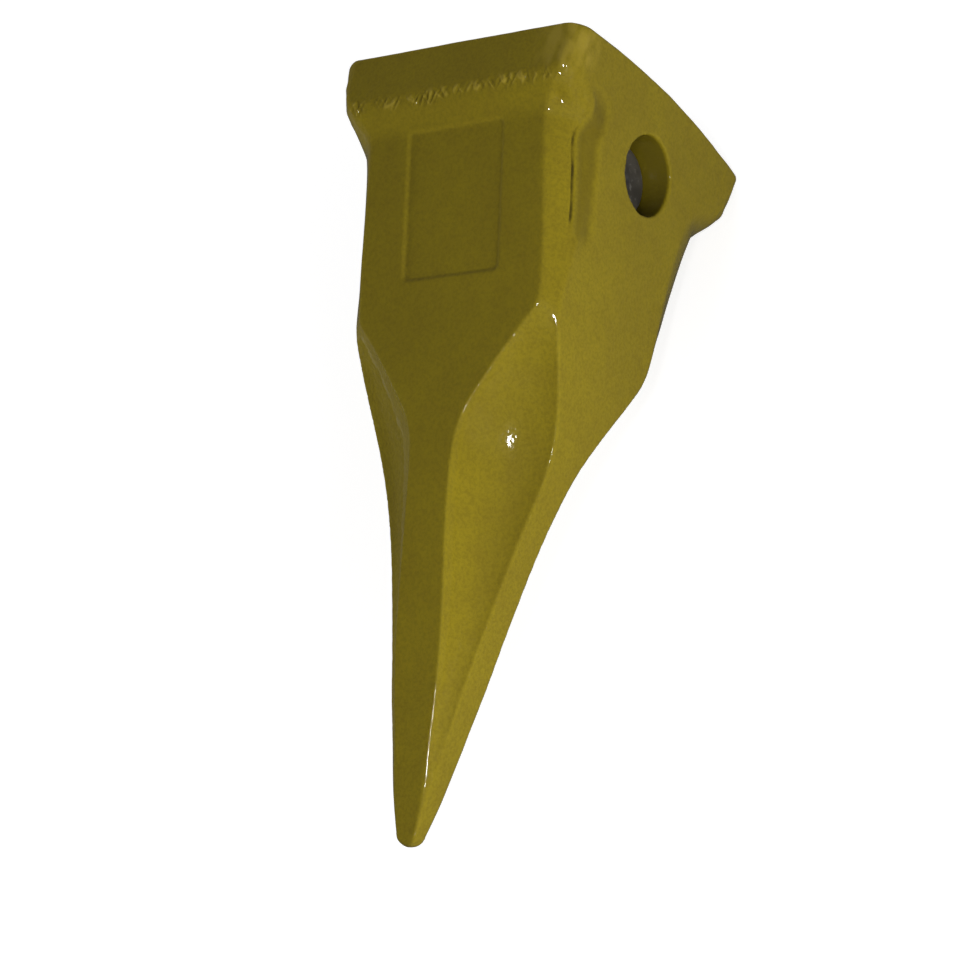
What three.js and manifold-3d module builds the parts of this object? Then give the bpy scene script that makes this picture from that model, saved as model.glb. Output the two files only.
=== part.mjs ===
// A side-pin excavator bucket tooth: a cast point with a wedge socket for the adapter nose,
// a round lock pin across the socket, and the snap ring and rubber cushion that hold the pin.
//
// Millimetres. X runs from the open mouth to the tip, Y along the lock pin, Z up.
// The shapes are drawn with x counted from the mouth plane. The whole group is then shifted,
// so that the origin of the finished part is the centre of the socket floor, the flat face
// that seats on the end of the adapter nose.
import * as THREE from 'three';
import { mergeVertices } from 'three/addons/utils/BufferGeometryUtils.js';
import Module from 'manifold-3d';

// ---- Driving dimensions ---------------------------------------------------------------

const toothLength = 290.5; // mouth plane to tip
const mouthWidth = 110;
const mouthHeight = 120; // over both lips
const sideTaper = 0.0972; // how fast each side face closes in, per mm of length
const draft = 0.021; // side faces lean in above and below the middle, per mm of height
const rimBow = 2.2; // how far the side walls bow out behind the lips
const bowReach = 50; // half the height of that bow

const lipFlat = 17; // the lips are level for this length
const lipEnd = 33; // from here on the top face is a plain wedge
const lipEndHalfHeight = 52;
const wedgeSlope = 0.235; // how fast the box's top and bottom faces close in
const boxEnd = 99; // the socket box ends and the blade's hollows start

const sideWall = 16.5; // wall thickness beside the socket
const lipWall = 13; // wall thickness above and below the mouth
const seatDepth = 98; // socket floor
const seatFlat = 20; // the socket's last stretch is parallel
const seatHalfHeight = 21;

const pinFromMouth = 32;
const boreRadius = 15.25;
const pinRadius = 14.6;
const pinNearRecess = 10.5; // pin end below the +Y side face
const pinFarRecess = 4; // pin end below the -Y side face
const pinChamfer = 2;

const ringInner = 13.1;
const ringOuter = 17.4;
const ringThickness = 4;
const ringGap = THREE.MathUtils.degToRad(26); // half the opening of the split ring
const grooveRadius = 12.8;
const grooveClearance = 0.5; // each side of the ring
const cushionOuter = 22.7;
const pocketRadius = 23;
const pocketDepth = 5.6; // below the inner face of the -Y wall
const fitGap = 0.3;

const tipRadius = 4.6;
const tipSlenderness = 0.7; // tip half height over tip half width

// ---- Small tools ----------------------------------------------------------------------

const wasm = await Module();
wasm.setup();

// A closed three.js geometry as a solid that can be joined and cut.
function solid(geometry) {
  const bare = geometry.index ? geometry.toNonIndexed() : geometry.clone();
  bare.deleteAttribute('normal');
  bare.deleteAttribute('uv');
  const merged = mergeVertices(bare, 1e-4);
  return new wasm.Manifold(
    new wasm.Mesh({
      numProp: 3,
      vertProperties: new Float32Array(merged.attributes.position.array),
      triVerts: new Uint32Array(merged.index.array),
    }),
  );
}

// A solid as a three.js geometry, with flat-shaded normals.
function geometryOf(body) {
  const mesh = body.getMesh();
  const indexed = new THREE.BufferGeometry();
  indexed.setAttribute('position', new THREE.BufferAttribute(mesh.vertProperties, 3));
  indexed.setIndex(new THREE.BufferAttribute(mesh.triVerts, 1));
  const faceted = indexed.toNonIndexed();
  faceted.computeVertexNormals();
  return faceted;
}

// A smooth curve through knots of [x, value, slope], straight beyond its ends.
function curveThrough(knots) {
  return (x) => {
    const first = knots[0];
    const last = knots[knots.length - 1];
    if (x <= first[0]) return first[1] + first[2] * (x - first[0]);
    if (x >= last[0]) return last[1] + last[2] * (x - last[0]);
    const next = knots.findIndex((knot) => knot[0] > x);
    const [x0, v0, m0] = knots[next - 1];
    const [x1, v1, m1] = knots[next];
    const span = x1 - x0;
    const t = (x - x0) / span;
    const ease = t * t * (3 - 2 * t);
    return (
      v0 + (v1 - v0) * ease
      + span * m0 * t * (1 - t) * (1 - t)
      - span * m1 * t * t * (1 - t)
    );
  };
}

function evenly(from, to, count) {
  return Array.from({ length: count }, (_, i) => from + ((to - from) * i) / count);
}

const cornerSegments = 8;
const halfRingPoints = 2 * (cornerSegments + 1) + 1;
const ringPoints = 2 * halfRingPoints;

// One cross-section: four faces joined by four alike corners. A corner runs from
// (sideY, edgeZ) on the side face to (edgeY, halfHeight) on the top face. Its fullness is 1
// where it bulges out like a rounded edge and near 0 where it is scooped in to the middle.
// The side faces lean in with the draft, so they are widest at mid-height.
function cornerPoints({ halfWidth, halfHeight, edgeY, edgeZ, fullness, lean = 0 }) {
  const sideY = halfWidth - lean * edgeZ;
  const pullY = edgeY + (sideY - edgeY) * fullness;
  const pullZ = edgeZ + (halfHeight - edgeZ) * fullness;
  const points = [];
  for (let i = 0; i <= cornerSegments; i++) {
    const t = i / cornerSegments;
    const side = (1 - t) * (1 - t);
    const top = t * t;
    const middle = 2 * t * (1 - t) * Math.SQRT1_2;
    const total = side + middle + top;
    points.push([
      (side * sideY + middle * pullY + top * edgeY) / total,
      (side * edgeZ + middle * pullZ + top * halfHeight) / total,
    ]);
  }
  return points;
}

// The whole section. Its lower corners can be tighter than its upper ones.
function crossSection(size, tighterBelow = 0) {
  const upper = cornerPoints(size);
  const lower = cornerPoints({
    ...size,
    edgeY: size.edgeY + tighterBelow,
    edgeZ: size.edgeZ + tighterBelow,
  });
  const mirrored = (points) => points.map(([y, z]) => [-y, z]).reverse();
  const above = [[size.halfWidth, 0], ...upper, ...mirrored(upper)];
  const below = [[size.halfWidth, 0], ...lower, ...mirrored(lower)];
  return [...above, ...below.map(([y, z]) => [-y, -z])];
}

// A solid whose cross-section changes along X: an extruded polygon, one step per station,
// with each ring of vertices moved onto its own section.
function loft(stations, sectionAt) {
  const carrier = new THREE.Shape();
  const turn = (2 * Math.PI) / ringPoints;
  for (let i = 0; i < ringPoints; i++) {
    carrier.lineTo(Math.cos(i * turn), Math.sin(i * turn));
  }
  const steps = stations.length - 1;
  const geometry = new THREE.ExtrudeGeometry(carrier, { steps, depth: steps, bevelEnabled: false });
  const sections = stations.map(sectionAt);
  const place = geometry.attributes.position;
  for (let v = 0; v < place.count; v++) {
    const station = Math.round(place.getZ(v));
    const angle = Math.atan2(place.getY(v), place.getX(v));
    const point = (Math.round(angle / turn) + ringPoints) % ringPoints;
    const [y, z] = sections[station][point];
    place.setXYZ(v, stations[station], y, z);
  }
  return geometry;
}

// A plate with its outline in the XZ plane, centred on Y = 0.
function sidePlate(outline, width) {
  const geometry = new THREE.ExtrudeGeometry(outline, {
    depth: width,
    bevelEnabled: false,
    curveSegments: 16,
  });
  geometry.translate(0, 0, -width / 2);
  geometry.rotateX(Math.PI / 2);
  return geometry;
}

function roundedRectangle(length, width, radius) {
  const shape = new THREE.Shape();
  const x = length / 2 - radius;
  const y = width / 2 - radius;
  shape.absarc(x, y, radius, 0, Math.PI / 2);
  shape.absarc(-x, y, radius, Math.PI / 2, Math.PI);
  shape.absarc(-x, -y, radius, Math.PI, 1.5 * Math.PI);
  shape.absarc(x, -y, radius, 1.5 * Math.PI, 2 * Math.PI);
  return shape;
}

function namedMesh(name, geometry, material) {
  const mesh = new THREE.Mesh(geometry, material);
  mesh.name = name;
  return mesh;
}

// ---- Outer form of the casting ----------------------------------------------------------

const sideFace = (x) => mouthWidth / 2 + (draft * mouthHeight) / 2 - sideTaper * x;
const wedgeFace = (x) => lipEndHalfHeight - wedgeSlope * (x - lipEnd);
const tipStart = toothLength - tipRadius;

// Seen from above: the box's straight sides, a shoulder, then the fin out to the tip.
const planOutline = curveThrough([
  [0, sideFace(0), -sideTaper],
  [boxEnd, sideFace(boxEnd), -sideTaper],
  [145, 39.2, -0.25],
  [178, 29.5, -0.27],
  [tipStart, tipRadius, -0.25],
]);

// Seen from the side: level lip, slope down to the wedge, a nearly level stretch where the
// rib leaves the box, then straight to the tip.
const sideOutline = curveThrough([
  [0, mouthHeight / 2, 0],
  [lipFlat, mouthHeight / 2, 0],
  [lipEnd, lipEndHalfHeight, -wedgeSlope],
  [boxEnd - 9, wedgeFace(boxEnd - 9), -wedgeSlope],
  [125, 34, -0.11],
  [178, 26, -0.21],
  [tipStart, tipRadius * tipSlenderness, -0.2],
]);

// Where the top face ends sideways: near the box's corner, then in to the thin rib.
const ribEdge = curveThrough([
  [0, 47, 0],
  [lipFlat, 47, -0.35],
  [lipEnd, 39, 0],
  [boxEnd, 40, -0.1],
  [107, 34.8, -0.75],
  [133, 16.3, -0.68],
  [153, 9.7, -0.05],
  [224, 10, -0.03],
  [tipStart, 4.2, -0.12],
]);

// How high the side face reaches: near the corner, then down to the thin fin.
const finEdge = curveThrough([
  [0, 53, 0],
  [lipFlat, 49, -0.6],
  [lipEnd, 34, -0.45],
  [60, 29.5, 0],
  [boxEnd, 31, -0.1],
  [108, 28.3, -0.5],
  [145, 10, -0.33],
  [168, 6.7, -0.03],
  [230, 6.2, -0.01],
  [tipStart, 2.6, -0.1],
]);

// Corners bulge out along the box and are hollow along the blade.
const cornerFullness = curveThrough([
  [lipFlat, 1, 0],
  [lipEnd, 0.7, 0],
  [boxEnd - 4, 0.54, 0],
  [boxEnd + 22, 0.16, 0],
  [tipStart - 40, 0.16, 0],
  [tipStart - 5, 0.9, 0],
]);

// The lower lip's corners are nearly square at the mouth.
const tighterBelow = curveThrough([
  [0, 4.5, -0.2],
  [lipFlat + 3, 0, 0],
]);

// 1 along the tooth, falling as a quarter circle over the rounded tip.
function tipRounding(x) {
  const along = Math.max(0, (x - tipStart) / tipRadius);
  return Math.sqrt(Math.max(0, 1 - along * along));
}

function toothSection(x) {
  const steady = Math.min(x, tipStart);
  const scale = tipRounding(x);
  const halfWidth = planOutline(steady) * scale;
  const halfHeight = sideOutline(steady) * scale;
  const size = {
    halfWidth,
    halfHeight,
    edgeY: Math.min(ribEdge(steady) * scale, halfWidth * 0.9),
    edgeZ: Math.min(finEdge(steady) * scale, halfHeight * 0.9),
    fullness: cornerFullness(steady),
    lean: draft,
  };
  return crossSection(size, tighterBelow(Math.max(0, x)));
}

function toothStations() {
  const tipRings = [0, 0.35, 0.6, 0.8, 0.93, 0.985].map((part) => tipStart + part * tipRadius);
  return [
    -rimBow - 1,
    ...evenly(0, lipFlat, 2),
    ...evenly(lipFlat, lipEnd, 7),
    ...evenly(lipEnd, boxEnd - 6, 3),
    ...evenly(boxEnd - 6, 160, 17),
    ...evenly(160, tipStart, 10),
    ...tipRings,
  ];
}

// ---- Cuts in the casting ----------------------------------------------------------------

// Everything behind the mouth: straight behind the lips, bowed out behind the side walls.
function rearTrim() {
  const behind = -30;
  const beyond = mouthHeight;
  const outline = new THREE.Shape();
  outline.moveTo(behind, -beyond);
  outline.lineTo(0, -beyond);
  outline.lineTo(0, -bowReach);
  outline.quadraticCurveTo(-2 * rimBow, 0, 0, bowReach);
  outline.lineTo(0, beyond);
  outline.lineTo(behind, beyond);
  return sidePlate(outline, 2 * mouthWidth);
}

// The wedge pocket for the adapter nose, ending in a short parallel box with a flat floor.
function socket() {
  const mouthHalfHeight = mouthHeight / 2 - lipWall;
  const flatStart = seatDepth - seatFlat;
  const slope = (mouthHalfHeight - seatHalfHeight) / flatStart;
  const cornerRadius = 6;
  const past = -10;
  return loft([past, flatStart, seatDepth], (x) => {
    const halfWidth = sideFace(x) - sideWall;
    const halfHeight = seatHalfHeight + slope * Math.max(0, flatStart - x);
    return crossSection({
      halfWidth,
      halfHeight,
      edgeY: halfWidth - cornerRadius,
      edgeZ: halfHeight - cornerRadius,
      fullness: 1,
    });
  });
}

function acrossAtPin(radius, length, segments) {
  const geometry = new THREE.CylinderGeometry(radius, radius, length, segments);
  geometry.translate(pinFromMouth, 0, 0);
  return geometry;
}

function pinBore() {
  return acrossAtPin(boreRadius, 2 * mouthWidth, 64);
}

const innerWallAtPin = sideFace(pinFromMouth) - sideWall;
const pocketFloor = -(innerWallAtPin + pocketDepth);

// A round counterbore in the inner face of the -Y wall, for the ring and its cushion.
function retainerPocket() {
  const open = 12;
  const geometry = acrossAtPin(pocketRadius, open, 64);
  geometry.translate(0, pocketFloor + open / 2, 0);
  return geometry;
}

// A shallow sunk panel on the top face.
function topPanel() {
  const panelLength = 56;
  const panelWidth = 42;
  const panelCentre = 59;
  const panelDepth = 1;
  const proud = 5;
  const geometry = new THREE.ExtrudeGeometry(roundedRectangle(panelLength, panelWidth, 3), {
    depth: panelDepth + proud,
    bevelEnabled: false,
    curveSegments: 4,
  });
  geometry.translate(0, 0, -panelDepth);
  geometry.rotateY(Math.atan(wedgeSlope));
  geometry.translate(panelCentre, 0, wedgeFace(panelCentre));
  return geometry;
}

function toothCasting() {
  const outer = solid(loft(toothStations(), toothSection));
  const cuts = [rearTrim(), socket(), pinBore(), retainerPocket(), topPanel()];
  return geometryOf(cuts.reduce((body, cut) => body.subtract(solid(cut)), outer));
}

// ---- Lock pin and its retainer ------------------------------------------------------------

const sideAtPin = sideFace(pinFromMouth);
const ringFar = pocketFloor + fitGap;
const ringNear = ringFar + ringThickness;

// A plain pin with chamfered ends and one groove near its -Y end for the snap ring.
function lockPin() {
  const far = -(sideAtPin - pinFarRecess);
  const near = sideAtPin - pinNearRecess;
  const grooveFar = ringFar - grooveClearance;
  const grooveNear = ringNear + grooveClearance;
  const profile = [
    [0, far],
    [pinRadius - pinChamfer, far],
    [pinRadius, far + pinChamfer],
    [pinRadius, grooveFar],
    [grooveRadius, grooveFar],
    [grooveRadius, grooveNear],
    [pinRadius, grooveNear],
    [pinRadius, near - pinChamfer],
    [pinRadius - pinChamfer, near],
    [0, near],
  ];
  const geometry = new THREE.LatheGeometry(profile.map(([r, y]) => new THREE.Vector2(r, y)), 64);
  geometry.translate(pinFromMouth, 0, 0);
  return geometry;
}

// A split spring-steel ring that snaps into the pin's groove. Its gap faces the mouth.
function retainerRing() {
  const shape = new THREE.Shape();
  const start = Math.PI + ringGap;
  const end = 3 * Math.PI - ringGap;
  shape.absarc(0, 0, ringOuter, start, end);
  shape.absarc(0, 0, ringInner, end, start, true);
  const geometry = new THREE.ExtrudeGeometry(shape, {
    depth: ringThickness,
    bevelEnabled: false,
    curveSegments: 48,
  });
  geometry.rotateX(-Math.PI / 2);
  geometry.translate(pinFromMouth, ringFar, 0);
  return geometry;
}

// A rubber collar with rounded edges that fills the pocket around the ring.
function retainerCushion() {
  const inner = ringOuter + fitGap;
  const thickness = pocketDepth - fitGap;
  const edge = 1.2;
  const shape = roundedRectangle(cushionOuter - inner, thickness, edge);
  const profile = shape.getPoints(3).map(
    (p) => new THREE.Vector2(p.x + (cushionOuter + inner) / 2, p.y),
  );
  profile.push(profile[0].clone());
  const geometry = new THREE.LatheGeometry(profile, 48);
  geometry.translate(pinFromMouth, ringFar + thickness / 2, 0);
  return geometry;
}

// ---- Materials and assembly ---------------------------------------------------------------

const dipPaint = new THREE.MeshStandardMaterial({ color: 0x86751f, roughness: 0.38, metalness: 0 });
const darkSteel = new THREE.MeshStandardMaterial({ color: 0x2a2a2b, roughness: 0.45, metalness: 0.9 });
const springSteel = new THREE.MeshStandardMaterial({ color: 0x4a4c50, roughness: 0.35, metalness: 1 });
const blackRubber = new THREE.MeshStandardMaterial({ color: 0x141414, roughness: 0.85, metalness: 0 });

const tooth = new THREE.Group();
tooth.add(
  namedMesh('tooth_casting', toothCasting(), dipPaint),
  namedMesh('lock_pin', lockPin(), darkSteel),
  namedMesh('retainer_ring', retainerRing(), springSteel),
  namedMesh('retainer_cushion', retainerCushion(), blackRubber),
);
tooth.position.x = -seatDepth;

export default tooth;
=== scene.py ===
# Looks for a side-pin excavator bucket tooth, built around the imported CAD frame.
#
# The casting's visible surface is a fine mesh settled onto a smooth form with rounded edges,
# then given the marks of a sand casting. The lock pin, its snap ring and the rubber cushion
# are turned or swept anew with broken edges. Every surface has a procedural material.
import math

import bmesh
import bpy
import numpy as np
from mathutils import Matrix, Vector, noise
from mathutils.bvhtree import BVHTree


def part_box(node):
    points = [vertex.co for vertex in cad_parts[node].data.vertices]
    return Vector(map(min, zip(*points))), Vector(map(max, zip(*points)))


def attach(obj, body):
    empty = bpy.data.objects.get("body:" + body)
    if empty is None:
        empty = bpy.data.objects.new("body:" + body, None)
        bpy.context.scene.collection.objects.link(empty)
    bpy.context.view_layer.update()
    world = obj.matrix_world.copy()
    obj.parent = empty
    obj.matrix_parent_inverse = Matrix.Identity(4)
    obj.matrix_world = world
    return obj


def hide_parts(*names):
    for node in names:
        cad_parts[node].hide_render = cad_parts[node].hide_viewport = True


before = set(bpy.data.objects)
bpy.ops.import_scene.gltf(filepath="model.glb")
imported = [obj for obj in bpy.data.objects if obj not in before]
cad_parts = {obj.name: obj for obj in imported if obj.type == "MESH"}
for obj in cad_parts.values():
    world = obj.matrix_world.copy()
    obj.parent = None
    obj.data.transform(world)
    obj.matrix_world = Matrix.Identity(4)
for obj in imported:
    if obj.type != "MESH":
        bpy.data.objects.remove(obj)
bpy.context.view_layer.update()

# ---- Sizes from the frame -------------------------------------------------------------------
#
# The shapes are worked out in millimetres in "tooth space": the frame's own axes, with x
# counted from the mouth plane. to_frame() puts them in the frame, in metres.

MM = 0.001
casting_low, casting_high = [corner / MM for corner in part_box("tooth_casting")]
pin_low, pin_high = [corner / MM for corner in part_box("lock_pin")]
ring_low, ring_high = [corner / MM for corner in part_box("retainer_ring")]
cushion_low, cushion_high = [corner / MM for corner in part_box("retainer_cushion")]

RIM_BOW = 2.2  # how far the side walls bow out behind the lips
BOW_REACH = 50  # half the height of that bow
MOUTH_AT = casting_low.x + RIM_BOW
TOOTH_LENGTH = casting_high.x - MOUTH_AT
LIP_HEIGHT = casting_high.z  # the mid-plane to the top of the lip
REAR_SIDE = casting_high.y  # half width at the rearmost point of the bow

PIN_X = (pin_low.x + pin_high.x) / 2 - MOUTH_AT
PIN_RADIUS = (pin_high.z - pin_low.z) / 2
BORE_CLEARANCE = 0.65
BORE_RADIUS = PIN_RADIUS + BORE_CLEARANCE
RING_OUTER = (ring_high.z - ring_low.z) / 2
RING_THICKNESS = 4.3
RING_INNER = RING_OUTER - RING_THICKNESS
CUSHION_OUTER = (cushion_high.z - cushion_low.z) / 2
LOOSE_FIT = 0.3  # the gap round the cushion, inside and out
CUSHION_INNER = RING_OUTER + LOOSE_FIT
POCKET_RADIUS = CUSHION_OUTER + LOOSE_FIT
POCKET_FLOOR = cushion_low.y - LOOSE_FIT


def to_frame(points):
    """Points in tooth space, in millimetres, as points in the frame, in metres."""
    return (np.asarray(points, float) + [MOUTH_AT, 0, 0]) * MM


def from_frame(points):
    """Points in the frame, in metres, as points in tooth space, in millimetres."""
    return np.asarray(points, float) / MM - [MOUTH_AT, 0, 0]


# ---- Form of the casting --------------------------------------------------------------------

SIDE_TAPER = 0.0972  # each side face closes in by this much per mm of length
DRAFT = 0.021  # and leans in above and below the mid-plane
LIP_FLAT = 17  # the lips are level for this length
LIP_END = 33  # from here on the top face is a plain wedge
LIP_END_HEIGHT = 52
WEDGE_SLOPE = 0.235
BOX_END = 99  # the socket box ends and the blade's hollows start
SIDE_WALL = 16.5
LIP_WALL = 13
SEAT_DEPTH = -MOUTH_AT  # the frame's origin is the centre of the socket floor
SEAT_FLAT = 20
SEAT_HEIGHT = 21
TIP_RADIUS = 4.6
TIP_SLENDERNESS = 0.7
TIP_START = TOOTH_LENGTH - TIP_RADIUS


def curve_through(knots):
    """A smooth curve through knots of (x, value, slope), straight beyond its ends."""
    xs, values, slopes = np.array(knots, float).T

    def curve(x):
        x = np.asarray(x, float)
        i = np.clip(np.searchsorted(xs, x, "right") - 1, 0, len(xs) - 2)
        span = xs[i + 1] - xs[i]
        t = np.clip((x - xs[i]) / span, 0, 1)
        ease = t * t * (3 - 2 * t)
        between = values[i] + (values[i + 1] - values[i]) * ease
        between += span * t * (1 - t) * (slopes[i] * (1 - t) - slopes[i + 1] * t)
        before = np.minimum(x - xs[0], 0) * slopes[0]
        beyond = np.maximum(x - xs[-1], 0) * slopes[-1]
        return between + before + beyond

    return curve


def side_face(x):
    """Half width of the box at mid-height."""
    return REAR_SIDE - SIDE_TAPER * (x + RIM_BOW)


def wedge_face(x):
    """Half height of the box behind its flared lips."""
    return LIP_END_HEIGHT - WEDGE_SLOPE * (x - LIP_END)


# Seen from above: the box's straight sides, a shoulder, then the fin out to the tip.
half_width = curve_through([
    (0, side_face(0), -SIDE_TAPER),
    (BOX_END, side_face(BOX_END), -SIDE_TAPER),
    (145, 39.2, -0.25),
    (178, 29.5, -0.27),
    (TIP_START, TIP_RADIUS, -0.25),
])

# Seen from the side: level lip, slope down to the wedge, then nearly straight to the tip.
half_height = curve_through([
    (0, LIP_HEIGHT, 0),
    (LIP_FLAT, LIP_HEIGHT, 0),
    (LIP_END, LIP_END_HEIGHT, -WEDGE_SLOPE),
    (BOX_END - 9, wedge_face(BOX_END - 9), -WEDGE_SLOPE),
    (125, 34, -0.11),
    (178, 26, -0.21),
    (TIP_START, TIP_RADIUS * TIP_SLENDERNESS, -0.2),
])

# Where the top face ends sideways: near the box's corner, then in to the thin rib.
rib_edge = curve_through([
    (0, 47, 0),
    (LIP_FLAT, 47, -0.35),
    (LIP_END, 39, 0),
    (BOX_END, 40, -0.1),
    (107, 34.8, -0.75),
    (133, 16.3, -0.68),
    (153, 9.7, -0.05),
    (224, 10, -0.03),
    (TIP_START, 4.2, -0.12),
])

# How high the side face reaches: near the corner, then down to the thin fin.
fin_edge = curve_through([
    (0, 53, 0),
    (LIP_FLAT, 49, -0.6),
    (LIP_END, 34, -0.45),
    (60, 29.5, 0),
    (BOX_END, 31, -0.1),
    (108, 28.3, -0.5),
    (145, 10, -0.33),
    (168, 6.7, -0.03),
    (230, 6.2, -0.01),
    (TIP_START, 2.6, -0.1),
])

# Corners bulge out along the box and are hollow along the blade.
corner_fullness = curve_through([
    (LIP_FLAT, 1, 0),
    (LIP_END, 0.7, 0),
    (BOX_END - 4, 0.54, 0),
    (BOX_END + 22, 0.16, 0),
    (TIP_START - 40, 0.16, 0),
    (TIP_START - 5, 0.9, 0),
])

# The lower lip's corners are nearly square at the mouth.
tighter_below = curve_through([
    (0, 4.5, -0.2),
    (LIP_FLAT + 3, 0, 0),
])


def corner_point(x, t, tighter=0):
    """(y, z) on the corner at x, from the side face's edge at t 0 to the top face's at t 1."""
    steady = np.minimum(x, TIP_START)
    past_tip = np.clip((x - TIP_START) / TIP_RADIUS, 0, 1)
    scale = np.sqrt(1 - past_tip ** 2)
    width = half_width(steady) * scale
    height = half_height(steady) * scale
    edge_y = np.minimum(rib_edge(steady) * scale, width * 0.9) + tighter
    edge_z = np.minimum(fin_edge(steady) * scale, height * 0.9) + tighter
    side_y = width - DRAFT * edge_z
    full = corner_fullness(steady)
    pull_y = edge_y + (side_y - edge_y) * full
    pull_z = edge_z + (height - edge_z) * full
    side, middle, top = (1 - t) ** 2, 2 * t * (1 - t) * math.sqrt(0.5), t ** 2
    total = side + middle + top
    y = (side * side_y + middle * pull_y + top * edge_y) / total
    z = (side * edge_z + middle * pull_z + top * height) / total
    return y, z


def quarter_outline(x, count, tighter):
    """The section at x from the mid-plane at the side to the middle of the top, evenly spaced."""
    t = np.linspace(0, 1, 81)
    y, z = corner_point(x, t, tighter)
    width = y[0] + DRAFT * z[0]
    y = np.concatenate([[width], y, [0]])
    z = np.concatenate([[0], z, [z[-1]]])
    along = np.concatenate([[0], np.cumsum(np.hypot(np.diff(y), np.diff(z)))])
    even = np.linspace(0, along[-1], count + 1)
    return np.interp(even, along, y), np.interp(even, along, z), along[-1]


QUARTER_POINTS = 96
EDGE_SOFTNESS = 0.5  # the edges of the section are blurred over this distance


def softened_ring(x):
    """The whole section at x, with its edges rounded off by a blur along its outline."""
    halves = []
    for tighter in (0, tighter_below(max(0, x))):
        y, z, quarter = quarter_outline(x, QUARTER_POINTS, tighter)
        up = y[:-1] + 1j * z[:-1]
        over = -y[:0:-1] + 1j * z[:0:-1]
        halves.append(np.concatenate([up, over]))
    ring = np.concatenate([halves[0], -halves[1]])
    length = 4 * quarter
    blur = min(EDGE_SOFTNESS, 0.02 * length)
    waves = np.fft.fftfreq(len(ring), 1 / len(ring)) * 2 * math.pi / length
    return np.fft.ifft(np.fft.fft(ring) * np.exp(-0.5 * (waves * blur) ** 2))


def form_tree():
    """A search tree over the casting's outer form, before anything is cut from it."""
    spacing = 0.8
    last_turn = 0.48 * math.pi  # short of a quarter turn, so that the last ring keeps some size
    body = np.arange(-2 * RIM_BOW, TIP_START, spacing)
    turn = np.linspace(0, last_turn, 12)
    stations = np.concatenate([body, TIP_START + TIP_RADIUS * np.sin(turn)])
    rings = np.array([softened_ring(x) for x in stations])
    xs = np.repeat(stations, rings.shape[1]).reshape(rings.shape)
    points = np.stack([xs, rings.real, rings.imag], axis=-1).reshape(-1, 3)
    around = rings.shape[1]
    faces = []
    for station in range(len(stations) - 1):
        for i in range(around):
            j = (i + 1) % around
            here, there = station * around, (station + 1) * around
            faces.append((here + i, here + j, there + j, there + i))
    faces.append(tuple(range(around))[::-1])
    last = (len(stations) - 1) * around
    faces.append(tuple(range(last, last + around)))
    return BVHTree.FromPolygons(points.tolist(), faces)


def inside_both(a, b, radius):
    """Distance to what is inside both shapes, with the edge between them rounded."""
    over_a = np.maximum(a + radius, 0)
    over_b = np.maximum(b + radius, 0)
    return np.minimum(np.maximum(a, b), -radius) + np.hypot(over_a, over_b)


EDGE_BREAK = 0.5  # the radius on the edges of the bore, the pocket and the panel


def cut_away(body, tool, radius):
    """Distance to the body with the tool cut out of it and the new edge rounded."""
    return inside_both(body, -tool, radius)


LIP_SETBACK = 0.6  # how far the lips' rear edge stands behind the mouth plane, at the middle
LIP_SKEW = 0.018  # and how much that changes per mm across the tooth


def rear_face(p):
    """Slightly askew behind the lips, and bowed out behind the side walls."""
    share = 1 - np.minimum(np.abs(p[:, 2]) / BOW_REACH, 1) ** 2
    lip = LIP_SETBACK - LIP_SKEW * p[:, 1]
    return -(p[:, 0] + lip + (RIM_BOW - lip) * share)


def socket(p):
    """The wedge pocket for the adapter nose, with a short parallel stretch at its floor."""
    flat_start = SEAT_DEPTH - SEAT_FLAT
    slope = (LIP_HEIGHT - LIP_WALL - SEAT_HEIGHT) / flat_start
    height = SEAT_HEIGHT + slope * np.maximum(0, flat_start - p[:, 0])
    side = np.abs(p[:, 1]) - (side_face(p[:, 0]) - SIDE_WALL)
    roof = (np.abs(p[:, 2]) - height) / math.hypot(1, slope)
    corner_radius = 6
    floor_radius = 2
    return inside_both(inside_both(side, roof, corner_radius), p[:, 0] - SEAT_DEPTH, floor_radius)


def from_pin_axis(p):
    return np.hypot(p[:, 0] - PIN_X, p[:, 2])


def pin_bore(p):
    return from_pin_axis(p) - BORE_RADIUS


def retainer_pocket(p):
    """The counterbore in the inner face of the -Y wall."""
    beyond_the_wall = 12
    open_side = POCKET_FLOOR + beyond_the_wall
    ends = np.maximum(POCKET_FLOOR - p[:, 1], p[:, 1] - open_side)
    return inside_both(from_pin_axis(p) - POCKET_RADIUS, ends, EDGE_BREAK)


PANEL_LENGTH = 56
PANEL_WIDTH = 42
PANEL_CENTRE = 59
PANEL_DEPTH = 0.9


def top_panel(p):
    """A shallow sunk panel on the top face, with sloping walls and a soft foot."""
    angle = math.atan(WEDGE_SLOPE)
    x = p[:, 0] - PANEL_CENTRE
    z = p[:, 2] - wedge_face(PANEL_CENTRE)
    along = x * math.cos(angle) - z * math.sin(angle)
    above = x * math.sin(angle) + z * math.cos(angle)
    wall_slope = 0.8
    corner_radius = 1.5
    spread = wall_slope * (above + PANEL_DEPTH)
    ends = (np.abs(along) - PANEL_LENGTH / 2 - spread) / math.hypot(1, wall_slope)
    sides = (np.abs(p[:, 1]) - PANEL_WIDTH / 2 - spread) / math.hypot(1, wall_slope)
    floor = -(above + PANEL_DEPTH)
    return inside_both(inside_both(ends, sides, corner_radius), floor, EDGE_BREAK)


REAR_EDGE_RADIUS = 1.0
REAR_CORNER_EXTRA = 1.8
SOCKET_EDGE_RADIUS = 1.6


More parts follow.
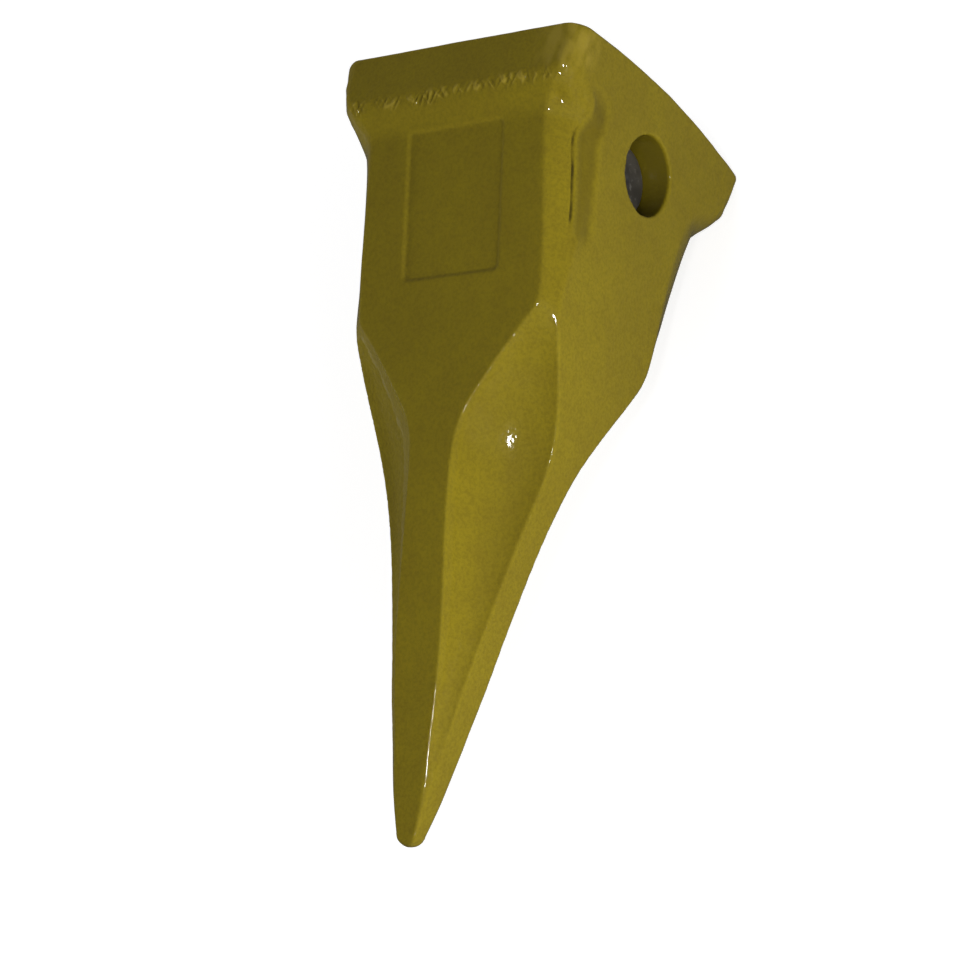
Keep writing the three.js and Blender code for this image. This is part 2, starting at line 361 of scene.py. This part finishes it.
def rear_rounding(p):
    """Radius of the casting's rear edge, which is larger at the four corners of the mouth."""
    side_start, side_reach = 48, 6
    top_start, top_reach = 50, 8
    near_side = np.clip((np.abs(p[:, 1]) - side_start) / side_reach, 0, 1)
    near_top = np.clip((np.abs(p[:, 2]) - top_start) / top_reach, 0, 1)
    return REAR_EDGE_RADIUS + REAR_CORNER_EXTRA * (near_side * near_top)


def casting_shape(p, outer):
    """Signed distance to the finished casting, given the distance to its outer form."""
    body = inside_both(outer, rear_face(p), rear_rounding(p))
    body = cut_away(body, socket(p), SOCKET_EDGE_RADIUS)
    for tool in (pin_bore, retainer_pocket, top_panel):
        body = cut_away(body, tool(p), EDGE_BREAK)
    return body


def distance_to_form(tree, points):
    """Signed distance to the outer form, and the direction it grows in, for each point."""
    distance = np.zeros(len(points))
    direction = np.zeros((len(points), 3))
    for i, point in enumerate(points):
        spot, facing, _, gap = tree.find_nearest(point.tolist())
        outward = 1 if (Vector(point) - spot).dot(facing) >= 0 else -1
        distance[i] = gap * outward
        direction[i] = facing if gap < 1e-3 else (Vector(point) - spot) * outward / gap
    return distance, direction


def settle(points, tree, rounds):
    """Moves points onto the finished casting's surface along the slope of its distance."""
    step = 0.02
    least_slope = 0.5  # keeps a point from leaping away where the distance is nearly level
    for _ in range(rounds):
        outer, outer_slope = distance_to_form(tree, points)
        value = casting_shape(points, outer)
        slope = np.zeros_like(points)
        for axis in range(3):
            nudge = np.zeros(3)
            nudge[axis] = step
            ahead = casting_shape(points + nudge, outer + outer_slope[:, axis] * step)
            behind = casting_shape(points - nudge, outer - outer_slope[:, axis] * step)
            slope[:, axis] = (ahead - behind) / (2 * step)
        steep = np.maximum((slope ** 2).sum(axis=1), least_slope ** 2)
        points = points - slope * (value / steep)[:, None]
    return points


# ---- Mesh tools -----------------------------------------------------------------------------


def vertex_array(mesh, name="co"):
    values = np.zeros(len(mesh.vertices) * 3, np.float32)
    mesh.vertices.foreach_get(name, values)
    return values.reshape(-1, 3).astype(float)


def set_vertices(mesh, points):
    mesh.vertices.foreach_set("co", points.astype(np.float32).ravel())
    mesh.update()


def edge_array(mesh):
    ends = np.zeros(len(mesh.edges) * 2, np.int32)
    mesh.edges.foreach_get("vertices", ends)
    return ends.reshape(-1, 2)


def neighbour_mean(values, ends):
    """For each vertex, the mean of its neighbours' values."""
    total = np.zeros_like(values)
    count = np.zeros(len(values))
    for a, b in ((0, 1), (1, 0)):
        np.add.at(total, ends[:, a], values[ends[:, b]])
        np.add.at(count, ends[:, a], 1)
    return total / np.maximum(count, 1)[:, None]


def vertex_normals(mesh):
    """Area-weighted vertex normals, in the mesh's own space."""
    mesh.update()
    return np.array([v.normal for v in mesh.vertices], float)


def remeshed_copy(node, voxel):
    """A new mesh: the CAD node's shape rebuilt from an even grid of small quads."""
    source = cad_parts[node]
    carrier = bpy.data.objects.new("carrier", source.data.copy())
    bpy.context.scene.collection.objects.link(carrier)
    remesh = carrier.modifiers.new("even grid", "REMESH")
    remesh.mode = "VOXEL"
    remesh.voxel_size = voxel * MM
    graph = bpy.context.evaluated_depsgraph_get()
    mesh = bpy.data.meshes.new_from_object(carrier.evaluated_get(graph))
    bpy.data.objects.remove(carrier)
    return mesh


def refine(mesh, chosen):
    """Splits the edges whose two ends are both chosen, and the faces between them."""
    work = bmesh.new()
    work.from_mesh(mesh)
    work.verts.ensure_lookup_table()
    edges = [e for e in work.edges if chosen[e.verts[0].index] and chosen[e.verts[1].index]]
    bmesh.ops.subdivide_edges(work, edges=edges, cuts=1, use_grid_fill=True)
    work.to_mesh(mesh)
    work.free()


def smooth_shaded(mesh):
    mesh.polygons.foreach_set("use_smooth", [True] * len(mesh.polygons))
    mesh.update()


def add_piece(name, mesh, body, node, material):
    """Puts a finished mesh in the scene in place of a CAD node."""
    piece = bpy.data.objects.new(name, mesh)
    bpy.context.scene.collection.objects.link(piece)
    mesh.materials.clear()
    mesh.materials.append(material)
    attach(piece, body)
    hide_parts(node)
    return piece


# ---- Marks of the casting -------------------------------------------------------------------


def bump(distance, width):
    """1 at no distance, falling smoothly to 0 at a few widths."""
    return np.exp(-((distance / width) ** 2))


def fade(x, start, end, soft):
    """1 between start and end, easing to 0 over the soft distance at each end."""
    rise = np.clip((x - start) / soft, 0, 1)
    fall = np.clip((end - x) / soft, 0, 1)
    return rise * rise * (3 - 2 * rise) * fall * fall * (3 - 2 * fall)


def noise_at(points, stretch, seed):
    """Smooth noise from -1 to 1; stretch is the size of its features along x, y and z."""
    scaled = points / stretch + seed
    return np.array([noise.noise(p) for p in scaled.tolist()])


WRINKLES_AT = LIP_FLAT + 3.5  # the wrinkled band lies where the lip turns down to the wedge
FACING_UP = 0.7  # it needs a normal with more than this much of +Z


def flange_wrinkles(points, normals):
    """Short slanted cast wrinkles in a band across the upper flange, leaning both ways."""
    x, y, z = points.T
    folds = np.zeros(len(points))
    for lean, seed in ((0.75, 3.7), (-0.5, 9.2)):
        slanted = points.copy()
        slanted[:, 1] = y + lean * (x - WRINKLES_AT)
        share = 0.5 + 0.5 * np.tanh(3 * noise_at(points, np.full(3, 9.0), seed))
        ridges = 1 - 5 * np.abs(noise_at(slanted, np.array([9.0, 2.6, 9.0]), seed))
        folds += share * np.clip(ridges, -0.4, 1)
    wander = WRINKLES_AT + 1.5 * noise_at(points, np.full(3, 18.0), 6.4)
    reach = bump(x - wander, 2.3) * fade(np.abs(y), -1, 49, 6)
    return 0.5 * folds * reach * (normals[:, 2] > FACING_UP)


def corner_dents(points):
    """Shallow lumps where the flared lip runs into the corner."""
    x, y, z = points.T
    at_x, at_y, at_z = 16, 50, 56
    away = np.sqrt((x - at_x) ** 2 + (np.abs(y) - at_y) ** 2 + (np.abs(z) - at_z) ** 2)
    return 0.4 * noise_at(points, np.array([4.0, 3.0, 3.0]), 11.3) * bump(away, 12)


# Two small hollows in the near upper corner: (x, how far round from the side face, depth). They
# are invented, and placed so that the paint glints here.
CORNER_HOLLOWS = ((LIP_FLAT + 2.5, 0.76, 0.6), (LIP_FLAT + 10, 0.72, 0.9))
HOLLOW_WIDTH = 2.6


def corner_hollows(points):
    """Depth of the two small hollows, whose sides catch the light."""
    depth = np.zeros(len(points))
    for x, round_corner, deepest in CORNER_HOLLOWS:
        centre = (x, *corner_point(x, round_corner))
        away = np.linalg.norm(points - centre, axis=1)
        depth += deepest * bump(away, HOLLOW_WIDTH)
    return depth


PATH_START = 23

# A closed cold-shut line runs down the near upper corner: (x, how far round from the side face).
crease_path = curve_through([
    (PATH_START, 0, 0.04),
    (35.5, 0.46, 0.01),
    (50.5, 0.44, -0.003),
    (65.5, 0.36, -0.005),
    (78, 0.3, -0.005),
])


def painted_corner_highlight(points):
    """How much painted highlight lightens the near upper corner of the lip, in ragged patches."""
    lip_corner = (8, 49, 59)
    away = np.linalg.norm(points - lip_corner, axis=1)
    ragged = 0.85 + 0.9 * noise_at(points, np.array([6.0, 2.5, 2.5]), 4.4)
    return ragged * bump(away, 12)


CREASE_START = 31
CREASE_END = 72
SUNK_WIDTH = 12  # the face beside the crease is sunk, and given painted shade, for this far


def beside_crease(points):
    """For points near the crease: their distance from it, positive towards the side face."""
    steps = np.linspace(PATH_START, CREASE_END, 110)
    line = np.array([(x, *corner_point(x, crease_path(x))) for x in steps])
    lowest = (PATH_START - 5, 30, 15)
    near = (points > lowest).all(axis=1) & (points[:, 0] < CREASE_END + 10)
    far_away = 99.0
    beside = np.full(len(points), far_away)
    for i in np.flatnonzero(near):
        gaps = np.linalg.norm(line - points[i], axis=1)
        k = int(gaps.argmin())
        outwards = points[i, 1] - line[k, 1] - points[i, 2] + line[k, 2]
        beside[i] = gaps[k] * (1 if outwards > 0 else -1)
    return beside


def corner_crease(points, beside):
    """The crease itself, and the slightly sunk face beside it, which fades out lower down."""
    x = points[:, 0]
    groove = 0.8 * bump(beside, 0.6) * fade(x, CREASE_START, CREASE_END, 6)
    return -groove - 1.1 * beside_strip(points, beside)


def beside_strip(points, beside):
    """1 in the middle of the sunk strip between the crease and the side face."""
    return fade(beside, 0.3, SUNK_WIDTH, 4) * fade(points[:, 0], 14, CREASE_END + 8, 14)


def casting_relief(points, normals, beside):
    """Height of the cast surface above the smooth form, in millimetres."""
    height = 0.10 * noise_at(points, np.full(3, 14.0), 5.1)
    height += 0.035 * noise_at(points, np.full(3, 4.2), 8.9)
    height += flange_wrinkles(points, normals)
    height += corner_dents(points)
    height -= corner_hollows(points)
    height += corner_crease(points, beside)
    return height


def tight_places(points, normals, ends):
    """Vertices next to an edge or in a tight curve."""
    turning = 1 - (normals[ends[:, 0]] * normals[ends[:, 1]]).sum(axis=1)
    sharp = np.zeros(len(points), bool)
    tight = ends[turning > 1 - math.cos(math.radians(11))]
    sharp[tight.ravel()] = True
    return sharp


def marked_places(points, normals):
    """Vertices in the wrinkled band, in the hollows and along the crease: the finest marks."""
    wrinkled = (np.abs(points[:, 0] - WRINKLES_AT) < 6) & (normals[:, 2] > FACING_UP)
    hollow = corner_hollows(points) > 0.02
    return wrinkled | hollow | (np.abs(beside_crease(points)) < 2)


def with_neighbours(chosen, ends):
    spread = neighbour_mean(chosen.astype(float)[:, None], ends)[:, 0]
    return chosen | (spread > 0)


GRID = 1.5  # the casting's mesh spacing, halved at its edges and halved again at its marks


def evened_out(points, ends, tree, rounds):
    """Spreads the vertices evenly over the surface without leaving it."""
    for _ in range(rounds):
        points = settle(0.5 * points + 0.5 * neighbour_mean(points, ends), tree, 1)
    return points


def settled_mesh(tree):
    """The CAD casting's even grid, made finer where it needs to be, on the finished shape."""
    mesh = remeshed_copy("tooth_casting", GRID)
    points = settle(from_frame(vertex_array(mesh)), tree, 3)
    for edges_too in (True, False):
        ends = edge_array(mesh)
        points = evened_out(points, ends, tree, 2)
        set_vertices(mesh, to_frame(points))
        normals = vertex_normals(mesh)
        chosen = marked_places(points, normals)
        if edges_too:
            chosen |= tight_places(points, normals, ends)
        refine(mesh, with_neighbours(chosen, ends))
        points = settle(from_frame(vertex_array(mesh)), tree, 2)
    points = evened_out(points, edge_array(mesh), tree, 2)
    set_vertices(mesh, to_frame(points))
    return mesh, points


def painted_light_and_shade(points, normals, beside):
    """How much painted highlight lightens the wrinkles and the lip's corner, and how much painted
    shade darkens the crease and the strip beside it, at each vertex.
    """
    wrinkle_height = 0.35
    # Painted highlight: the wrinkles' ridges and the lip's near corner are painted lighter.
    painted_highlight = np.clip(flange_wrinkles(points, normals) / wrinkle_height, 0, 1)
    painted_highlight = np.maximum(painted_highlight, painted_corner_highlight(points))
    patchy = 0.8 + 0.6 * noise_at(points, np.full(3, 5.0), 2.2)
    # Painted shade: the crease is painted nearly black, in patches.
    crease_shade = patchy * bump(beside, 0.8) * fade(points[:, 0], CREASE_START, CREASE_END, 6)
    # Painted shade in the sunk strip beside the crease.
    shade = (0.5 + 0.5 * patchy) * beside_strip(points, beside)
    return {"painted_highlight": painted_highlight, "crease_shade": crease_shade, "shade": shade}


def casting_mesh():
    """The casting's visible surface, with what its paint depends on kept at each vertex."""
    tree = form_tree()
    mesh, points = settled_mesh(tree)
    normals = vertex_normals(mesh)
    outer, _ = distance_to_form(tree, points)
    on_outside = bump(np.minimum(outer, 0), 1.5)
    beside = beside_crease(points)
    height = casting_relief(points, normals, beside) * on_outside
    raised = points + normals * height[:, None]
    set_vertices(mesh, to_frame(raised))
    smooth_shaded(mesh)
    for name, values in painted_light_and_shade(points, normals, beside).items():
        store(mesh, name, values)
    # Painted shade: the inside of the socket and the bore is painted darker.
    store(mesh, "inside", 1 - on_outside)
    store(mesh, "proud", standing_out(raised, vertex_normals(mesh), edge_array(mesh)))
    return mesh


def standing_out(points, normals, ends):
    """How far each vertex stands out from its neighbourhood, for painted highlights on edges and
    painted shade in hollows.
    """
    blurred = points
    for _ in range(6):
        blurred = neighbour_mean(blurred, ends)
    return ((points - blurred) * normals).sum(axis=1)


def store(mesh, name, values):
    """Keeps one number per vertex for the material to read."""
    attribute = mesh.attributes.new(name, "FLOAT", "POINT")
    attribute.data.foreach_set("value", np.clip(values, -1, 1).astype(np.float32))


# ---- Turned and swept pieces ----------------------------------------------------------------


def bevelled_profile(corners, bevels, steps=4):
    """An open outline of (radius, y) corners with each inner corner rounded by its bevel."""
    outline = [corners[0]]
    for k in range(1, len(corners) - 1):
        corner = np.array(corners[k], float)
        to_last = np.array(corners[k - 1]) - corner
        to_next = np.array(corners[k + 1]) - corner
        size = bevels[k - 1]
        start = corner + to_last / np.linalg.norm(to_last) * size
        end = corner + to_next / np.linalg.norm(to_next) * size
        for t in np.linspace(0, 1, steps + 1):
            curve = (1 - t) ** 2 * start + 2 * t * (1 - t) * corner + t ** 2 * end
            outline.append(tuple(curve))
    outline.append(corners[-1])
    return outline


def mesh_of(name, points, faces):
    """A mesh from points in tooth space, with shared points merged and faces pointing out."""
    mesh = bpy.data.meshes.new(name)
    mesh.from_pydata([tuple(p) for p in to_frame(points)], [], faces)
    mesh.validate()
    work = bmesh.new()
    work.from_mesh(mesh)
    bmesh.ops.remove_doubles(work, verts=work.verts, dist=1e-7)
    bmesh.ops.recalc_face_normals(work, faces=work.faces)
    work.to_mesh(mesh)
    work.free()
    smooth_shaded(mesh)
    return mesh


def turned(name, outline, segments):
    """A solid of revolution round the pin's axis from an outline of (radius, y)."""
    points = []
    for i in range(segments):
        angle = 2 * math.pi * i / segments
        for radius, y in outline:
            points.append((PIN_X + radius * math.cos(angle), y, radius * math.sin(angle)))
    rows = len(outline)
    faces = []
    for i in range(segments):
        j = (i + 1) % segments
        for k in range(rows - 1):
            faces.append((i * rows + k, i * rows + k + 1, j * rows + k + 1, j * rows + k))
    return mesh_of(name, points, faces)


def lock_pin_mesh():
    """A turned pin: chamfered ends, a centre-drill dimple in each, and the ring's groove."""
    far, near = pin_low.y, pin_high.y
    groove_far, groove_near = ring_low.y - 0.5, ring_high.y + 0.5
    groove_radius = RING_INNER - 0.3
    chamfer = 2
    dimple = 2.4
    corners = [
        (0, far + dimple),
        (dimple, far),
        (PIN_RADIUS - chamfer, far),
        (PIN_RADIUS, far + chamfer),
        (PIN_RADIUS, groove_far),
        (groove_radius, groove_far),
        (groove_radius, groove_near),
        (PIN_RADIUS, groove_near),
        (PIN_RADIUS, near - chamfer),
        (PIN_RADIUS - chamfer, near),
        (dimple, near),
        (0, near - dimple),
    ]
    bevels = [0.3, 0.5, 0.5, 0.25, 0.4, 0.4, 0.25, 0.5, 0.5, 0.3]
    return turned("lock_pin_turned", bevelled_profile(corners, bevels), 128)


def cushion_mesh():
    """A moulded rubber collar with rounded edges and a shallow bead round its open face."""
    low, high = cushion_low.y, cushion_high.y
    middle = (CUSHION_OUTER + CUSHION_INNER) / 2
    bead = 0.35
    corners = [
        (middle, low),
        (CUSHION_OUTER, low),
        (CUSHION_OUTER, high - bead),
        (middle + 0.9, high - bead),
        (middle + 0.5, high),
        (middle - 0.5, high),
        (middle - 0.9, high - bead),
        (CUSHION_INNER, high - bead),
        (CUSHION_INNER, low),
        (middle, low),
    ]
    bevels = [1.2, 1.1, 0.3, 0.25, 0.25, 0.3, 1.1, 1.2]
    return turned("retainer_cushion_moulded", bevelled_profile(corners, bevels), 128)


RING_GAP = math.radians(26)  # half the opening of the split ring, which faces the mouth


def ring_mesh():
    """The split ring: a flat-sided spring wire with broken edges, open towards the mouth."""
    low, high = ring_low.y, ring_high.y
    edge = 0.5
    section = [
        (RING_INNER, low + edge), (RING_INNER + edge, low),
        (RING_OUTER - edge, low), (RING_OUTER, low + edge),
        (RING_OUTER, high - edge), (RING_OUTER - edge, high),
        (RING_INNER + edge, high), (RING_INNER, high - edge),
    ]
    steps = 120
    points = []
    for i in range(steps + 1):
        angle = math.pi + RING_GAP + (2 * math.pi - 2 * RING_GAP) * i / steps
        for radius, y in section:
            points.append((PIN_X + radius * math.cos(angle), y, radius * math.sin(angle)))
    around = len(section)
    faces = [tuple(range(around)), tuple(range(steps * around, (steps + 1) * around))]
    for i in range(steps):
        for k in range(around):
            next_k = (k + 1) % around
            here, there = i * around, (i + 1) * around
            faces.append((here + k, here + next_k, there + next_k, there + k))
    return mesh_of("retainer_ring_sprung", points, faces)


# ---- Materials ------------------------------------------------------------------------------


class Graph:
    """A material's node tree, built one node at a time."""

    def __init__(self, name):
        self.material = bpy.data.materials.new(name)
        self.material.use_nodes = True
        self.tree = self.material.node_tree
        self.tree.nodes.clear()
        self.place = self.add("ShaderNodeTexCoord").outputs["Object"]

    def add(self, kind, inputs=None, **settings):
        node = self.tree.nodes.new(kind)
        for key, value in settings.items():
            setattr(node, key, value)
        for key, value in (inputs or {}).items():
            if isinstance(value, bpy.types.NodeSocket):
                self.tree.links.new(value, node.inputs[key])
            else:
                node.inputs[key].default_value = value
        return node

    def stored(self, name):
        """A number kept on the mesh's vertices."""
        return self.add("ShaderNodeAttribute", attribute_name=name).outputs["Fac"]

    def noise(self, size, detail=2.0, roughness=0.5, stretch=(1, 1, 1)):
        """Noise from about 0 to 1 with features of the given size in millimetres."""
        scale = [1 / (size * MM * s) for s in stretch]
        mapped = self.add("ShaderNodeMapping", {"Vector": self.place, "Scale": scale})
        inputs = {
            "Vector": mapped.outputs["Vector"],
            "Scale": 1.0,
            "Detail": detail,
            "Roughness": roughness,
        }
        return self.add("ShaderNodeTexNoise", inputs).outputs["Fac"]

    def ramp(self, value, low, high, to_low=0.0, to_high=1.0):
        """value's stretch from low to high, mapped smoothly onto to_low to to_high."""
        inputs = {
            "Value": value,
            "From Min": low,
            "From Max": high,
            "To Min": to_low,
            "To Max": to_high,
        }
        made = self.add("ShaderNodeMapRange", inputs, interpolation_type="SMOOTHSTEP")
        return made.outputs["Result"]

    def maths(self, operation, first, second):
        return self.add("ShaderNodeMath", {0: first, 1: second}, operation=operation).outputs[0]

    def mix(self, share, first, second):
        """A colour between first at share 0 and second at share 1."""
        node = self.add("ShaderNodeMix", data_type="RGBA")
        for name, value in (("Factor", share), ("A", first), ("B", second)):
            kind = "VALUE" if name == "Factor" else "RGBA"
            socket = next(s for s in node.inputs if s.name == name and s.type == kind)
            if isinstance(value, bpy.types.NodeSocket):
                self.tree.links.new(value, socket)
            else:
                socket.default_value = value
        return next(s for s in node.outputs if s.type == "RGBA")

    def relief(self, layers):
        """A bump normal from layers of (height from 0 to 1, depth in millimetres)."""
        normal = None
        for height, depth in layers:
            inputs = {"Height": height, "Distance": depth * MM, "Strength": 1.0}
            if normal is not None:
                inputs["Normal"] = normal
            normal = self.add("ShaderNodeBump", inputs).outputs["Normal"]
        return normal

    def finish(self, inputs):
        shader = self.add("ShaderNodeBsdfPrincipled", inputs)
        self.add("ShaderNodeOutputMaterial", {"Surface": shader.outputs["BSDF"]})
        return self.material


def colour(red, green, blue):
    """An sRGB colour, given from 0 to 255, as linear RGBA."""
    linear = []
    for channel in (red, green, blue):
        c = channel / 255
        linear.append(c / 12.92 if c <= 0.04045 else ((c + 0.055) / 1.055) ** 2.4)
    return (*linear, 1.0)


def dip_paint():
    """Glossy olive-yellow dip paint over a sand casting: mottled, grainy, with painted highlights
    and painted shade.
    """
    g = Graph("dip_paint_olive")
    proud, painted_highlight, crease_shade = [g.stored(name) for name in ("proud", "painted_highlight", "crease_shade")]
    shade, inside = [g.stored(name) for name in ("shade", "inside")]
    cloud = g.noise(38, detail=3)
    mottle = g.noise(7, detail=3, roughness=0.6)
    grain = g.noise(1.2, detail=2, roughness=0.7)
    base = g.mix(g.ramp(cloud, 0.3, 0.7), colour(134, 118, 23), colour(140, 124, 23))
    base = g.mix(g.ramp(mottle, 0.35, 0.75, 0.0, 0.35), base, colour(125, 107, 25))
    base = g.mix(g.ramp(grain, 0.35, 0.7, 0.0, 0.45), base, colour(108, 94, 18))
    # Painted highlight: convex edges, where proud is high, are painted lighter.
    base = g.mix(g.ramp(proud, 0.08, 0.5, 0.0, 0.12), base, colour(152, 136, 36))
    # Painted shade: hollows, where proud is low, are painted darker.
    base = g.mix(g.ramp(proud, -0.05, -0.4, 0.0, 0.35), base, colour(92, 80, 22))
    # Painted highlight on the wrinkles' ridges and the lip's near corner.
    base = g.mix(g.ramp(painted_highlight, 0.1, 0.9, 0.0, 0.6), base, colour(166, 146, 54))
    # Painted shade in the sunk strip beside the crease.
    base = g.mix(g.ramp(shade, 0.0, 1.0, 0.0, 0.5), base, colour(88, 76, 20))
    # Painted shade inside the socket and the bore.
    base = g.mix(g.ramp(inside, 0.3, 0.9, 0.0, 0.85), base, colour(90, 79, 16))
    # Painted shade in the crease.
    base = g.mix(g.ramp(crease_shade, 0.3, 0.9, 0.0, 0.85), base, colour(50, 42, 12))
    rough = g.ramp(g.noise(11, detail=4, roughness=0.65), 0.3, 0.7, 0.42, 0.56)
    rough = g.maths("ADD", rough, g.ramp(grain, 0.3, 0.7, -0.04, 0.05))
    skin = [(g.noise(9, detail=1), 0.22), (g.noise(2.4, detail=1), 0.12)]
    smoother_skin = [(height, 0.7 * depth) for height, depth in skin]
    return g.finish({
        "Base Color": base,
        "Roughness": rough,
        "Normal": g.relief([*skin, (grain, 0.05)]),
        "Specular IOR Level": 0.1,
        "Coat Weight": 0.9,
        "Coat Roughness": 0.06,
        "Coat Normal": g.relief(smoother_skin),
    })


def turned_steel():
    """Dark oiled steel with fine turning marks round the pin and a few worn, lighter streaks."""
    g = Graph("pin_steel_dark")
    fine = g.noise(0.35, detail=2, stretch=(30, 1, 30))
    streak = g.noise(2.5, detail=3, stretch=(1, 12, 1))
    stain = g.noise(9, detail=4, roughness=0.6)
    base = g.mix(g.ramp(stain, 0.35, 0.7), colour(72, 70, 67), colour(98, 94, 89))
    base = g.mix(g.ramp(streak, 0.58, 0.75, 0.0, 0.5), base, colour(150, 147, 142))
    return g.finish({
        "Base Color": base,
        "Metallic": 0.45,
        "Roughness": g.ramp(stain, 0.3, 0.7, 0.34, 0.5),
        "Normal": g.relief([(fine, 0.03), (g.noise(3, detail=2), 0.03)]),
    })


def blued_spring_steel():
    """Heat-blued spring steel, scuffed to bare metal in places."""
    g = Graph("spring_steel_blued")
    tone = g.noise(6, detail=3)
    scuff = g.noise(1.6, detail=4, roughness=0.7)
    base = g.mix(g.ramp(tone, 0.35, 0.65), colour(92, 98, 118), colour(122, 116, 120))
    base = g.mix(g.ramp(scuff, 0.6, 0.72, 0.0, 0.7), base, colour(180, 178, 174))
    return g.finish({
        "Base Color": base,
        "Metallic": 0.6,
        "Roughness": g.ramp(scuff, 0.3, 0.7, 0.26, 0.44),
        "Normal": g.relief([(g.noise(0.6, detail=2), 0.015)]),
    })


def black_rubber():
    """Moulded black rubber with a dusty bloom."""
    g = Graph("rubber_black")
    bloom = g.noise(5, detail=4, roughness=0.65)
    base = g.mix(g.ramp(bloom, 0.4, 0.75), colour(38, 38, 39), colour(72, 71, 69))
    return g.finish({
        "Base Color": base,
        "Roughness": g.ramp(bloom, 0.3, 0.7, 0.62, 0.82),
        "Normal": g.relief([(g.noise(0.5, detail=2), 0.03)]),
    })


def pale_ground():
    """A matt white light table: near white to the camera, dim in the paint's gloss."""
    g = Graph("pale_floor")
    path = g.add("ShaderNodeLightPath")
    seen = path.outputs["Is Camera Ray"]
    mirrored = path.outputs["Is Glossy Ray"]
    shade = g.ramp(g.noise(400, detail=2), 0.3, 0.7)
    pale = g.mix(shade, colour(196, 196, 197), colour(192, 192, 193))
    glow = g.ramp(seen, 0, 1, 0.15, 0.72)
    return g.finish({
        "Base Color": g.mix(mirrored, pale, colour(70, 70, 70)),
        "Roughness": 0.9,
        "Specular IOR Level": 0.1,
        "Emission Color": (1.0, 1.0, 1.0, 1.0),
        "Emission Strength": g.maths("MULTIPLY", glow, g.ramp(mirrored, 0, 1, 1.0, 0.2)),
    })


# ---- Stage, light and camera ----------------------------------------------------------------


def pale_floor():
    """A large flat floor at the lowest point of the tooth."""
    reach = 40 * TOOTH_LENGTH * MM
    height = casting_low.z * MM
    corners = [(-reach, -reach, height), (reach, -reach, height), (reach, reach, height)]
    corners.append((-reach, reach, height))
    mesh = bpy.data.meshes.new("floor")
    mesh.from_pydata(corners, [], [(0, 1, 2, 3)])
    mesh.materials.append(pale_ground())
    floor = bpy.data.objects.new("floor", mesh)
    bpy.context.scene.collection.objects.link(floor)


SKY_LIGHT = 0.08
SKY_SEEN = 0.95
SKY_IN_GLOSS = 0.08


def pale_surroundings():
    """A white room: bright to the camera, softer as light, and dim in the paint's gloss."""
    world = bpy.data.worlds.new("studio")
    world.use_nodes = True
    tree = world.node_tree
    path = tree.nodes.new("ShaderNodeLightPath")
    strength = None
    for ray, ray_strength in (("Is Glossy Ray", SKY_IN_GLOSS), ("Is Camera Ray", SKY_SEEN)):
        choose = tree.nodes.new("ShaderNodeMix")
        tree.links.new(path.outputs[ray], choose.inputs[0])
        if strength is None:
            choose.inputs[2].default_value = SKY_LIGHT
        else:
            tree.links.new(strength, choose.inputs[2])
        choose.inputs[3].default_value = ray_strength
        strength = choose.outputs[0]
    background = tree.nodes["Background"]
    background.inputs["Color"].default_value = (1.0, 1.0, 1.0, 1.0)
    tree.links.new(strength, background.inputs["Strength"])
    bpy.context.scene.world = world


def direction_from(azimuth, elevation):
    """A unit vector; azimuth 0 comes from -Y and 90 from +X, elevation is above the floor."""
    a, e = math.radians(azimuth), math.radians(elevation)
    return Vector((math.sin(a) * math.cos(e), -math.cos(a) * math.cos(e), math.sin(e)))


# The camera looks at a point on the tooth's mid-plane, with the blade pointing down the frame.
AIM = Vector((52.6, -0.3, -2.1)) * MM
VIEW_AZIMUTH = 148.6
VIEW_ELEVATION = 48.17
VIEW_DISTANCE = 922.3 * MM
VIEW_ROLL = -54.97
LENS = 93.75
SENSOR = 36


def add_camera():
    """The camera at the fitted viewing angle, turned so that the blade points down."""
    data = bpy.data.cameras.new("camera")
    data.lens = LENS
    data.sensor_width = SENSOR
    data.clip_start = 0.01
    data.clip_end = 50
    camera = bpy.data.objects.new("camera", data)
    bpy.context.scene.collection.objects.link(camera)
    back = direction_from(VIEW_AZIMUTH, VIEW_ELEVATION)
    upright = (-back).to_track_quat("-Z", "Y").to_matrix()
    turned_by = Matrix.Rotation(math.radians(VIEW_ROLL), 3, "Z")
    camera.matrix_world = Matrix.Translation(AIM + back * VIEW_DISTANCE) @ (
        upright @ turned_by
    ).to_4x4()
    bpy.context.scene.camera = camera


def add_softbox(name, azimuth, elevation, distance, size, watts, mirrored):
    """A square area light aimed at the tooth; mirrored says whether glossy paint shows it."""
    data = bpy.data.lights.new(name, "AREA")
    data.shape = "SQUARE"
    data.size = size
    data.energy = watts
    light = bpy.data.objects.new(name, data)
    bpy.context.scene.collection.objects.link(light)
    back = direction_from(azimuth, elevation)
    light.location = AIM + back * distance
    light.rotation_mode = "QUATERNION"
    light.rotation_quaternion = (-back).to_track_quat("-Z", "Y")
    light.visible_glossy = mirrored


def add_lights():
    """Soft lights that don't show in the paint, and a small one, as a flash, that does."""
    add_softbox("side_window", 156, 20, distance=0.6, size=0.4, watts=3.25, mirrored=False)
    add_softbox("far_fill", 2, 9, distance=0.8, size=0.3, watts=4.3, mirrored=False)
    add_softbox("mouth_fill", 275, 9, distance=0.9, size=0.4, watts=3.8, mirrored=False)
    add_softbox("flash", 147, 55, distance=0.7, size=0.05, watts=0.76, mirrored=True)
    pale_surroundings()


# ---- Assembly -------------------------------------------------------------------------------


def build():
    """Puts the four pieces, the floor, the lights and the camera in the scene."""
    add_piece("tooth_body", casting_mesh(), "tooth", "tooth_casting", dip_paint())
    add_piece("pin", lock_pin_mesh(), "pin", "lock_pin", turned_steel())
    add_piece(
        "snap_ring", ring_mesh(), "tooth", "retainer_ring", blued_spring_steel()
    )
    add_piece(
        "rubber_cushion", cushion_mesh(), "tooth", "retainer_cushion", black_rubber()
    )
    pale_floor()
    add_lights()
    add_camera()
    bpy.context.scene.view_settings.view_transform = "Standard"


build()
